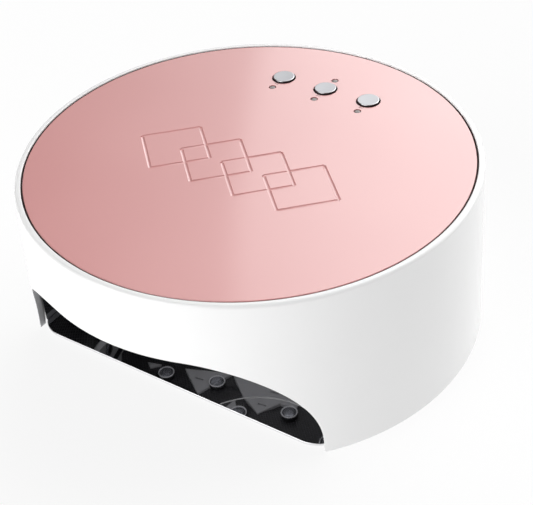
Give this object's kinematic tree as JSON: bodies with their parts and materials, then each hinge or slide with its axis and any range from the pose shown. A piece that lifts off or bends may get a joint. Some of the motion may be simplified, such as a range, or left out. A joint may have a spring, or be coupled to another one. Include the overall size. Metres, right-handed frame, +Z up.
{
  "type": "uv led nail lamp",
  "caption": "Round drafted desktop curing lamp with an arched hand opening, press buttons on a flat decor top, lamps in a faceted ceiling and a lift-off mirror tray held by magnets.",
  "frame": {"origin": "on the table, under the centre of the lamp", "axes": "+Z up, the hand opening faces -Y, the buttons and the power inlet are towards +Y, +X to the right as seen from the hand opening"},
  "size_m": [0.2, 0.1996, 0.0794],
  "materials": {
    "white_gloss_plastic": "gloss",
    "pink_pearl_plate": "pearl, satin",
    "dark_mirror_steel": "dark mirror polish",
    "brushed_button_metal": "brushed",
    "zinc_screw_steel": "zinc plated",
    "nickel_magnet": "nickel plated",
    "black_gloss_plastic": "gloss",
    "grey_frame_plastic": "matte",
    "reflector_gloss": "gloss facets",
    "lamp_lens": "clear, with a bright rim",
    "circuit_board": "matte",
    "led_circuit_board": "white solder mask",
    "switch_housing": "matte",
    "switch_plunger": "matte",
    "indicator_diffuser": "satin",
    "adhesive_foam": "matte",
    "foot_rubber": "matte",
    "wire_sleeve": "satin"
  },
  "bodies": {
    "tray": {"base_tray": "dark_mirror_steel", "foot_1": "foot_rubber", "foot_2": "foot_rubber", "foot_3": "foot_rubber", "foot_4": "foot_rubber"},
    "housing": {"outer_shell": "white_gloss_plastic", "top_deck": "white_gloss_plastic", "bottom_frame": "grey_frame_plastic", "frame_screw_1": "zinc_screw_steel", "frame_screw_2": "zinc_screw_steel", "frame_screw_3": "zinc_screw_steel", "frame_screw_4": "zinc_screw_steel", "tray_magnet_1": "nickel_magnet", "tray_magnet_2": "nickel_magnet", "tray_magnet_3": "nickel_magnet", "tray_magnet_4": "nickel_magnet", "top_plate": "pink_pearl_plate", "plate_adhesive": "adhesive_foam", "inner_liner": "black_gloss_plastic", "reflector": "reflector_gloss", "led_board": "led_circuit_board", "led_lens_01": "lamp_lens", "led_lens_02": "lamp_lens", "led_lens_03": "lamp_lens", "led_lens_04": "lamp_lens", "led_lens_05": "lamp_lens", "led_lens_06": "lamp_lens", "led_lens_07": "lamp_lens", "led_lens_08": "lamp_lens", "led_lens_09": "lamp_lens", "led_lens_10": "lamp_lens", "led_lens_11": "lamp_lens", "led_lens_12": "lamp_lens", "led_lens_13": "lamp_lens", "led_lens_14": "lamp_lens", "side_lens_1": "lamp_lens", "side_lens_2": "lamp_lens", "side_lens_3": "lamp_lens", "side_lens_4": "lamp_lens", "control_board": "circuit_board", "board_screw_1": "zinc_screw_steel", "board_screw_2": "zinc_screw_steel", "tact_switch_left": "switch_housing", "tact_switch_middle": "switch_housing", "tact_switch_right": "switch_housing", "light_pipe_1": "indicator_diffuser", "light_pipe_2": "indicator_diffuser", "light_pipe_3": "indicator_diffuser", "light_pipe_4": "indicator_diffuser", "dc_jack": "black_gloss_plastic", "jack_nut": "zinc_screw_steel", "power_lead": "wire_sleeve", "led_lead": "wire_sleeve", "hand_sensor": "switch_housing"},
    "left_button": {"button_left": "brushed_button_metal", "switch_plunger_left": "switch_plunger"},
    "middle_button": {"button_middle": "brushed_button_metal", "switch_plunger_middle": "switch_plunger"},
    "right_button": {"button_right": "brushed_button_metal", "switch_plunger_right": "switch_plunger"}
  },
  "joints": [
    {"name": "housing_lift", "type": "slide", "parent": "tray", "child": "housing", "axis": [0, 0, 1], "range_m": [0, 0.06]},
    {"name": "press_left", "type": "slide", "parent": "housing", "child": "left_button", "axis": [0, 0, -1], "range_m": [0, 0.0005], "stiffness_N_per_m": 3000, "springref_m": -0.0002},
    {"name": "press_middle", "type": "slide", "parent": "housing", "child": "middle_button", "axis": [0, 0, -1], "range_m": [0, 0.0005], "stiffness_N_per_m": 3000, "springref_m": -0.0002},
    {"name": "press_right", "type": "slide", "parent": "housing", "child": "right_button", "axis": [0, 0, -1], "range_m": [0, 0.0005], "stiffness_N_per_m": 3000, "springref_m": -0.0002}
  ]
}
